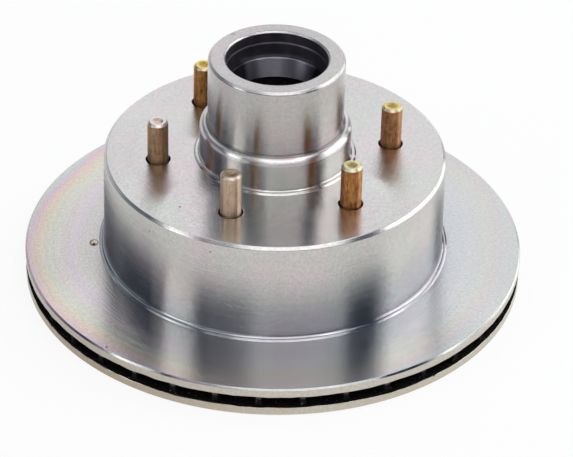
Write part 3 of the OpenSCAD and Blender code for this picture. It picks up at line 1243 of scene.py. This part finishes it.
@dataclass(frozen=True)
class BoredIron(Finish):
    """Grey iron bored to size and oiled: plating hardly gets inside, so the bores stay dark."""

    name: str = "oiled_bored_iron"
    colour: str = "6c6870"
    roughness: float = 0.48

    def dress(self, tree: bpy.types.NodeTree) -> dict[str, Any]:
        """Draws the boring tool's marks and an uneven film of oil."""
        place = Place(tree)
        # The tool feeds 0.3 mm a turn, which is drawn at 0.8 mm so that it shows.
        feed = noise(tree, place.z, 1.25, 2.0, line=True)
        oil = noise(tree, place.point, 0.12, 4.0)
        colour = ramp(tree, oil, ((0, "4c4a50"), (0.5, self.colour), (1, "88868e")))
        return {
            "Base Color": colour,
            "Metallic": 1.0,
            "Roughness": self.roughness,
            "Normal": bump(tree, feed, 0.03),
        }


@dataclass(frozen=True)
class CastZinc(Finish):
    """Clear zinc over the iron's cast skin, which sand leaves grainy, dull and darker."""

    name: str = "zinc_on_cast_skin"
    colour: str = "7a7875"
    roughness: float = 0.5
    sand_mm: float = 0.7

    def dress(self, tree: bpy.types.NodeTree) -> dict[str, Any]:
        """Draws the sand grain and darker stains."""
        place = Place(tree)
        sand = noise(tree, place.point, 1 / self.sand_mm, 3.0)
        stain = noise(tree, place.point, 0.07, 4.0)
        colour = ramp(tree, stain, ((0, "4c4640"), (0.45, "6c6965"), (0.6, self.colour), (1, "8c8a86")))
        return {
            "Base Color": colour,
            "Metallic": 0.9,
            "Roughness": self.roughness,
            "Normal": bump(tree, sand, 0.2),
        }


@dataclass(frozen=True)
class VentSkin(Finish):
    """Cast skin in the vents and the hub's cavity, where plating hardly reaches: brown-black scale
    and sand, painted near black as the shade in these hollows.

    Attributes:
        zinc: Pale colour painted on the top of a vane's end, as painted light where it is lit.
        mouth_z: Height of the outboard plate's inner face, in mm.
        vane_end_r: Radius that the vanes end at, in mm.
    """

    name: str = "cast_skin_in_vents"
    # Near black: dark cast scale, painted darker still as the shade in the vents and the cavity.
    colour: str = "0e0b0a"
    roughness: float = 0.8
    zinc: str = "a39e98"
    mouth_z: float = 0.0
    vane_end_r: float = 0.0

    def dress(self, tree: bpy.types.NodeTree) -> dict[str, Any]:
        """Draws brown-black scale painted near black as shade, with a few grey grains of zinc, and painted
        light on the top of each vane's end.
        """
        place = Place(tree)
        scale = noise(tree, place.point, 0.5, 5.0, 0.75)
        stops = ((0, "060505"), (0.5, self.colour), (0.62, "1c1512"), (0.72, "8a857f"), (1, "a8a29c"))
        colour = ramp(tree, scale, stops)
        # Painted light: a vane's end is painted paler at its top, just under the outboard plate.
        painted_light_share = span(tree, place.z, self.mouth_z - 3.2, self.mouth_z)
        mouth = span(tree, place.r, self.vane_end_r - 1.5, self.vane_end_r - 0.2, high=0.75)
        painted_light_share = add_node(tree, "Math", {0: painted_light_share, 1: mouth}, operation="MULTIPLY")
        return {
            "Base Color": mix(tree, painted_light_share, colour, linear(self.zinc)),
            "Roughness": self.roughness,
            "Specular IOR Level": 0.15,
            "Normal": bump(tree, scale, 0.4),
        }


@dataclass(frozen=True)
class GroundSteel(Finish):
    """Hardened bearing steel, ground round the axis: dark, bluish and near to a mirror.

    Attributes:
        oil: Dark colour painted over the race as painted shade, where it reflects the dark bore.
        unshaded_back: The way from the axis, as x, y, z, to the back of the race, which the painted shade
            leaves bare.
    """

    name: str = "ground_bearing_steel"
    colour: str = "d6d2dc"
    roughness: float = 0.28
    oil: str = "4a464e"
    unshaded_back: tuple[float, float, float] = (0.08, 1.0, 0.0)

    def dress(self, tree: bpy.types.NodeTree) -> dict[str, Any]:
        """Draws the grinding marks, stains, and painted shade over the race but for its back."""
        place = Place(tree)
        grind = noise(tree, place.z, 1.4, 3.0, line=True)
        stain = noise(tree, place.point, 0.15, 3.0)
        colour = ramp(tree, stain, ((0, "c2bec8"), (0.5, self.colour), (1, "e0dce4")))
        # Painted shade: the race is painted dark but for its back, as the dark bore that its sides reflect.
        way = add_node(tree, "VectorMath", {0: place.point, 1: (1, 1, 0)}, operation="MULTIPLY")
        way = add_node(tree, "VectorMath", {0: way}, operation="NORMALIZE")
        unshaded_back = add_node(tree, "VectorMath", {0: way, 1: self.unshaded_back}, out="Value", operation="DOT_PRODUCT")
        unshaded_back = span(tree, unshaded_back, 0.62, 0.78, smooth=True)
        return {
            "Base Color": mix(tree, unshaded_back, linear(self.oil), colour),
            "Metallic": 1.0,
            "Roughness": self.roughness,
            "Normal": bump(tree, grind, 0.01),
            **stretched(tree, 0.9),
        }


@dataclass(frozen=True)
class YellowZinc(Finish):
    """Yellow chromated zinc on rolled steel.

    The film runs from bronze to gold, and goes pale green and yellow where it lies thick on the
    stud's end. It is satin on the thread, with bright streaks that are a painted highlight. The
    sheared end is painted brighter, a painted reflection of the light above it, and its chamfer
    paler still, a painted highlight.

    Attributes:
        centre: x, y of the stud's axis, in mm.
        end_z: Height of the stud's end.
        dark: Colour in the film's dark clouds.
        glint: Colour of the film's bright streaks, a painted highlight.
        end: Colour of the stud's end, painted bright as a painted reflection of the light above it.
        dimple: Colour in the dimple.
        edge: Colour of the chamfer, a painted highlight.
    """

    colour: str = "a87f58"
    roughness: float = 0.34
    centre: tuple[float, float] = (0.0, 0.0)
    end_z: float = 0.0
    dark: str = "8a6a4c"
    glint: str = "b98c5c"
    end: str = "d8cc84"
    dimple: str = "9a7a48"
    edge: str = "cfc3a8"

    def dress(self, tree: bpy.types.NodeTree) -> dict[str, Any]:
        """Draws the clouds in the film, and the colours of the stud's end."""
        place = Place(tree)
        tip = (*self.centre, self.end_z)
        near = add_node(tree, "VectorMath", {0: place.point, 1: tip}, operation="SUBTRACT")
        off_axis = add_node(tree, "VectorMath", {0: near, 1: (1, 1, 0)}, operation="MULTIPLY")
        off_axis = add_node(tree, "VectorMath", {0: off_axis}, out="Value", operation="LENGTH")
        clouds = noise(tree, place.point, 0.22, 5.0, 0.65)
        # Painted highlight: bright streaks about a millimetre wide run along the stud, as glints off the
        # thread.
        drawn = add_node(tree, "VectorMath", {0: place.point, 1: (1, 1, 0.18)}, operation="MULTIPLY")
        streaks = noise(tree, drawn, 1.0, 3.0, 0.7)
        soft = add_node(tree, "Math", {0: clouds, 1: 0.4}, operation="MULTIPLY")
        mixed = add_node(tree, "Math", {0: streaks, 1: 0.6, 2: soft}, operation="MULTIPLY_ADD")
        stops = ((0, self.dark), (0.4, self.dark), (0.52, self.colour), (0.63, self.glint), (1, self.glint))
        film = ramp(tree, mixed, stops)
        # The end's colours: a painted reflection on the end and a painted highlight on the chamfer, round the
        # dimple.
        off_axis = add_node(tree, "Math", {0: clouds, 1: 2.6, 2: off_axis}, operation="MULTIPLY_ADD")
        rings = ramp(tree, span(tree, off_axis, 1.3, 7.5), (
            (0, self.dimple), (0.3, self.dimple), (0.56, self.end), (0.72, self.end),
            (0.84, self.edge), (1, self.edge),
        ))
        height = add_node(tree, "SeparateXYZ", {0: near}, out="Z")
        return {
            "Base Color": mix(tree, span(tree, height, -1.5, -1.1), film, rings),
            "Metallic": 1.0,
            "Roughness": self.roughness,
            "Normal": bump(tree, clouds, 0.15),
        }


# Camera, floor and light


@dataclass(frozen=True)
class PhotoCamera:
    """The camera, whose numbers are the result of a fit to edges measured in the photograph.

    Attributes:
        focal_px: Focal length in the picture's pixels.
        picture_w_px: Width of the picture.
        elevation_deg: How far the camera looks down.
        roll_deg: How far it leans to the side.
        offset: Where the friction face's centre lies in the camera's own axes, in mm.
        sensor_w: Width of the sensor, in mm.
    """

    focal_px: float = 2589.858
    picture_w_px: float = 573.0
    elevation_deg: float = 34.49883
    roll_deg: float = 1.44134
    offset: tuple[float, float, float] = (-8.14069, -5.61136, -1574.8031)
    sensor_w: float = 36.0

    def add(self, target_z: float) -> bpy.types.Object:
        """Makes the camera and sets it as the scene's.

        Args:
            target_z: Height of the outboard friction face, in mm.

        Returns:
            The camera.
        """
        roll, down = math.radians(self.roll_deg), math.radians(self.elevation_deg)
        look = Matrix(((1, 0, 0), (0, math.sin(down), math.cos(down)), (0, -math.cos(down), math.sin(down))))
        lean = Matrix(((math.cos(roll), math.sin(roll), 0), (-math.sin(roll), math.cos(roll), 0), (0, 0, 1)))
        axes = (lean @ look).transposed()
        place = Vector((0, 0, target_z)) - axes @ Vector(self.offset)
        lens = bpy.data.cameras.new("photo_camera")
        lens.sensor_width = self.sensor_w
        lens.lens = self.focal_px * self.sensor_w / self.picture_w_px
        lens.clip_start, lens.clip_end = 0.05, 30
        camera = bpy.data.objects.new("photo_camera", lens)
        camera.matrix_world = Matrix.Translation(place * MM) @ axes.to_4x4()
        bpy.context.scene.collection.objects.link(camera)
        bpy.context.scene.camera = camera
        return camera


@dataclass(frozen=True)
class SoftBox:
    """A soft box that hangs round the object and looks at it.

    Attributes:
        name: What it is.
        azimuth: Its direction in degrees from the front, towards the right.
        elevation: Its height in degrees over the floor.
        width: How wide it looks from the object, in degrees.
        height: How tall it looks.
        brightness: Its brightness, where a white wall in the picture is 1.
        distance: How far off it hangs, in metres.
        aim_z: Height that it looks at, in metres.
    """

    name: str
    azimuth: float
    elevation: float
    width: float
    height: float
    brightness: float
    distance: float = 2.0
    aim_z: float = 0.06

    def add(self) -> bpy.types.Object:
        """Hangs the soft box. Its power is what its size needs for its brightness."""
        lamp = bpy.data.lights.new(self.name, "AREA")
        lamp.shape = "RECTANGLE"
        lamp.size = 2 * self.distance * math.tan(math.radians(self.width) / 2)
        lamp.size_y = 2 * self.distance * math.tan(math.radians(self.height) / 2)
        lamp.energy = math.pi * self.brightness * lamp.size * lamp.size_y
        azimuth, elevation = math.radians(self.azimuth), math.radians(self.elevation)
        flat = math.cos(elevation)
        way = Vector((math.sin(azimuth) * flat, -math.cos(azimuth) * flat, math.sin(elevation)))
        box = bpy.data.objects.new(self.name, lamp)
        box.location = way * self.distance + Vector((0, 0, self.aim_z))
        box.rotation_euler = way.to_track_quat("Z", "Y").to_euler()
        box.visible_camera = False
        bpy.context.scene.collection.objects.link(box)
        return box


@dataclass(frozen=True)
class WhiteFloor(Finish):
    """Matt white board, which looks white to the camera and in metal, and keeps a soft shadow.

    Attributes:
        glow: How much of it the camera sees as plain white.
        mirror_glow: How much of it metal sees as plain white.
        lean: How much more metal sees so at the far right than in the middle, as painted light.
    """

    name: str = "matt_white_board"
    colour: str = "f4f4f4"
    roughness: float = 0.9
    glow: float = 0.88
    mirror_glow: float = 0.95
    lean: float = 0.2

    def material(self) -> bpy.types.Material:
        """Makes the material: painted board, in part plain white to camera and mirror rays."""
        material = bpy.data.materials.new(self.name)
        material.use_nodes = True
        tree = material.node_tree
        tree.nodes.clear()
        board = add_node(tree, "BsdfPrincipled", self.dress(tree))
        white = add_node(tree, "Emission", {"Color": linear("ffffff"), "Strength": 1.0})
        seen = add_node(tree, "LightPath", out="Is Camera Ray")
        share = add_node(tree, "Math", {0: seen, 1: self.glow}, operation="MULTIPLY")
        # Painted light: metal sees the board glow whiter on the right, where the stronger lamps hang.
        side = add_node(tree, "TexCoord", out="Object")
        side = add_node(tree, "VectorMath", {0: side}, operation="NORMALIZE")
        side = add_node(tree, "SeparateXYZ", {0: side}, out="X")
        level = {0: side, 1: self.lean, 2: self.mirror_glow}
        level = add_node(tree, "Math", level, operation="MULTIPLY_ADD")
        for ray in ("Is Glossy Ray", "Is Transmission Ray"):
            inputs = {0: add_node(tree, "LightPath", out=ray), 1: level, 2: share}
            share = add_node(tree, "Math", inputs, operation="MULTIPLY_ADD", use_clamp=True)
        mixed = add_node(tree, "MixShader", {0: share, 1: board, 2: white})
        add_node(tree, "OutputMaterial", {"Surface": mixed})
        return material

    def dress(self, tree: bpy.types.NodeTree) -> dict[str, Any]:
        """The board has no pattern of its own."""
        return {"Base Color": linear(self.colour), "Roughness": self.roughness, "Specular IOR Level": 0.0}


# The boxes' numbers began as a fit of the render's shading to the photograph's, and were then
# rounded and partly changed. No box is known to be a real lamp or window.
SOFT_BOXES = (
    SoftBox("right_box", 111, 40, 46, 18, 3.4),
    SoftBox("right_fill", 106, 8, 72, 24, 2.15),
    SoftBox("back_box", 175, 24, 40, 40, 1.22),
    SoftBox("back_top", 180, 54, 32, 18, 0.95),
    SoftBox("left_strip", 299, 25, 19, 22, 3.1),
    SoftBox("left_low", 262, 14, 30, 16, 0.42),
    SoftBox("front_box", 19, 39, 52, 24, 1.5),
    SoftBox("front_top", 6, 61, 38, 12, 2.3),
    SoftBox("back_left_top", 215, 52, 25, 26, 0.9),
    SoftBox("left_top", 282, 60, 19, 54, 0.95),
    SoftBox("back_left_low", 222, 9, 54, 22, 0.6),
    SoftBox("overhead", 95, 69, 38, 7, 4.2),
    SoftBox("front_left_box", 327, 46, 20, 20, 0.58),
    SoftBox("front_left_low", 335, 10, 46, 16, 0.7),
    SoftBox("top_box", 20, 80, 35, 26, 1.65),
)


@dataclass(frozen=True)
class Studio:
    """A white floor in a dim room, with soft boxes round the object.

    Attributes:
        floor_half: Half the floor's width, in metres.
        room: Brightness of the room's own light.
        room_colour: Its colour.
        horizon_deg: How far over the horizon the far wall stays fully white to the camera.
    """

    floor_half: float = 12.0
    room: float = 0.09
    room_colour: str = "78a8fa"
    horizon_deg: float = 6.0

    def _room(self) -> bpy.types.World:
        """Makes the dim room, whose far wall is as white as the floor just over the horizon.

        Returns:
            The world.
        """
        world = bpy.data.worlds.new("dim_room")
        world.use_nodes = True
        tree = world.node_tree
        tree.nodes.clear()
        way = add_node(tree, "TexCoord", out="Generated")
        rise = add_node(tree, "SeparateXYZ", {0: way}, out="Z")
        low, high = (math.sin(math.radians(k * self.horizon_deg)) for k in (1, 2))
        seen = add_node(tree, "LightPath", out="Is Camera Ray")
        share = add_node(tree, "Math", {0: seen, 1: span(tree, rise, high, low)}, operation="MULTIPLY")
        dim = add_node(tree, "Background", {"Color": linear(self.room_colour), "Strength": self.room})
        white = add_node(tree, "Background", {"Color": linear("ffffff"), "Strength": 1.0})
        mixed = add_node(tree, "MixShader", {0: share, 1: dim, 2: white})
        add_node(tree, "OutputWorld", {"Surface": mixed})
        return world

    def build(self) -> None:
        """Makes the floor, the room's own light and the soft boxes."""
        bpy.context.scene.view_settings.view_transform = "Standard"
        bpy.context.scene.world = self._room()
        mesh = bpy.data.meshes.new("floor")
        h = self.floor_half
        mesh.from_pydata([(-h, -h, 0), (h, -h, 0), (h, h, 0), (-h, h, 0)], [], [(0, 1, 2, 3)])
        mesh.materials.append(WhiteFloor().material())
        floor = bpy.data.objects.new("floor", mesh)
        bpy.context.scene.collection.objects.link(floor)
        for box in SOFT_BOXES:
            box.add()
            LOG.info("%s hangs at %d degrees", box.name, box.azimuth)


# The whole object


def put(piece: bpy.types.Object, node: str) -> None:
    """Puts a piece in its CAD node's stead, on the one body.

    Args:
        piece: The piece.
        node: The CAD node that it stands for.
    """
    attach(piece, ROOT_BODY)
    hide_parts(node)
    LOG.info("%s stands for %s: %d faces", piece.name, node, len(piece.data.polygons))


# The marks' places were worked out from where they lie in the photograph.
CASTING_MARKS = (
    # A pit at the hat's left foot: its brown rim, pale bottom, rust grain and dark grain.
    Mark((-108.2, -10.0, 18.5), (2.7, 3.6, 2), "4a3324"),
    Mark((-107.9, -9.6, 18.5), (1.9, 2.7, 2), "b9b2a4"),
    Mark((-109.2, -10.2, 18.5), (0.9, 1.3, 2), "c9a882"),
    Mark((-108.1, -11.4, 18.5), (1.0, 1.2, 2), "2c2018"),
    # Specks on the wheel face, the hat's side and the friction face.
    Mark((-53.5, -62.0, 81.3), (0.6, 0.8, 1), "5a4c44"),
    Mark((-34.6, -96.0, 74.1), (0.5, 0.8, 0.5), "4c403a"),
    Mark((-93.2, -113.9, 18.5), (0.7, 0.9, 1), "8c6c9c"),
    # A nick in the snout's edge and a smudge on its end.
    Mark((15.4, -37.0, 145.5), (1.0, 0.7, 1), "2e2a2c"),
    Mark((-26.4, 25.8, 145.7), (1.9, 0.9, 1), "948c8a", 0.8),
    # Notches in the rim.
    Mark((-128.6, -77.3, 6.0), (0.9, 0.9, 1.3), "3c3836"),
    Mark((94.8, -116.2, 6.0), (0.9, 0.9, 1.1), "3c3836"),
    # Another speck on the hat's side.
    Mark((-70.7, -73.5, 71.6), (0.6, 0.6, 0.7), "5c504a", 0.8),
)

# Each stud's film colours. The bright streaks, the end and the chamfer are painted highlight and painted
# reflection.
STUD_FINISHES = (
    YellowZinc(
        "yellow_zinc_stud_1", "d2b7a0",
        dark="bd9f88", glint="d6ba9e", end="c2ac94", dimple="b89a78", edge="cfc2b2",
    ),
    YellowZinc(
        "yellow_zinc_stud_2", "b67e4a",
        dark="8a5c36", glint="d49c56", end="d2cf98", dimple="a0805a", edge="d2ceb2",
    ),
    YellowZinc(
        "yellow_zinc_stud_3", "ad8058",
        dark="86603e", glint="c48c5c", end="d6c47a", dimple="a88c50", edge="cdbfa4",
    ),
    YellowZinc("yellow_zinc_stud_4", "a87c56"),
    YellowZinc(
        "yellow_zinc_stud_5", "aa7844",
        dark="805632", glint="c0883e", end="dcc25c", dimple="ba9444",
    ),
    YellowZinc(
        "yellow_zinc_stud_6", "aa8868",
        dark="876c52", glint="b0936e", end="d8cec8", dimple="d0b4a8", edge="d8cdc4",
    ),
)


def casting_finishes(casting: HubRotor) -> list[Finish]:
    """The casting's finishes, in the order of Skin.

    Args:
        casting: The casting, for the places where a finish changes.

    Returns:
        One finish for each skin.
    """
    sizes = casting.sizes
    turned = TurnedZinc(
        rotor_r=sizes.rotor_r,
        corner=(casting.snout_r, sizes.wheel_face_z + casting.pilot_h),
        marks=CASTING_MARKS,
    )
    vents = VentSkin(
        mouth_z=sizes.ring_face_z - casting.plate_t,
        vane_end_r=sizes.rotor_r - casting.vane_setback,
    )
    # The formed and eased edges are rougher, and their colour is painted brighter as a painted highlight.
    formed = replace(turned, name="clear_zinc_on_formed_edges", roughness=0.28, painted_highlight_gain=1.24)
    eased = replace(turned, name="clear_zinc_on_eased_edges", roughness=0.38, stretch=0.4, painted_highlight_gain=1.35)
    return [turned, formed, BoredIron(), CastZinc(), vents, eased]


def main() -> None:
    """Builds every piece, the studio and the camera."""
    logging.basicConfig(level=logging.INFO, format="%(name)s: %(message)s")
    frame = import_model()
    sizes = Mounts.read(frame)
    PhotoCamera().add(sizes.ring_face_z)
    casting = HubRotor(sizes)
    skins = [finish.material() for finish in casting_finishes(casting)]
    put(casting.build(skins), "hub_rotor")
    steel = GroundSteel().material()
    for node, (radius, low, high), opens_up in (
        ("outer_bearing_cup", sizes.outer_cup, True),
        ("inner_bearing_cup", sizes.inner_cup, False),
    ):
        put(BearingCup(node, radius, low, high, opens_up).build(steel), node)
    for i, centre in enumerate(sizes.stud_centres()):
        finish = replace(STUD_FINISHES[i % len(STUD_FINISHES)], centre=centre, end_z=sizes.stud_z[1])
        node = f"wheel_stud_{i + 1}"
        stud = WheelStud(node, centre, *sizes.stud_z, sizes.wheel_face_z, sizes.stud_r)
        put(stud.build(finish.material()), node)
    Studio().build()


if __name__ == "__main__":
    main()
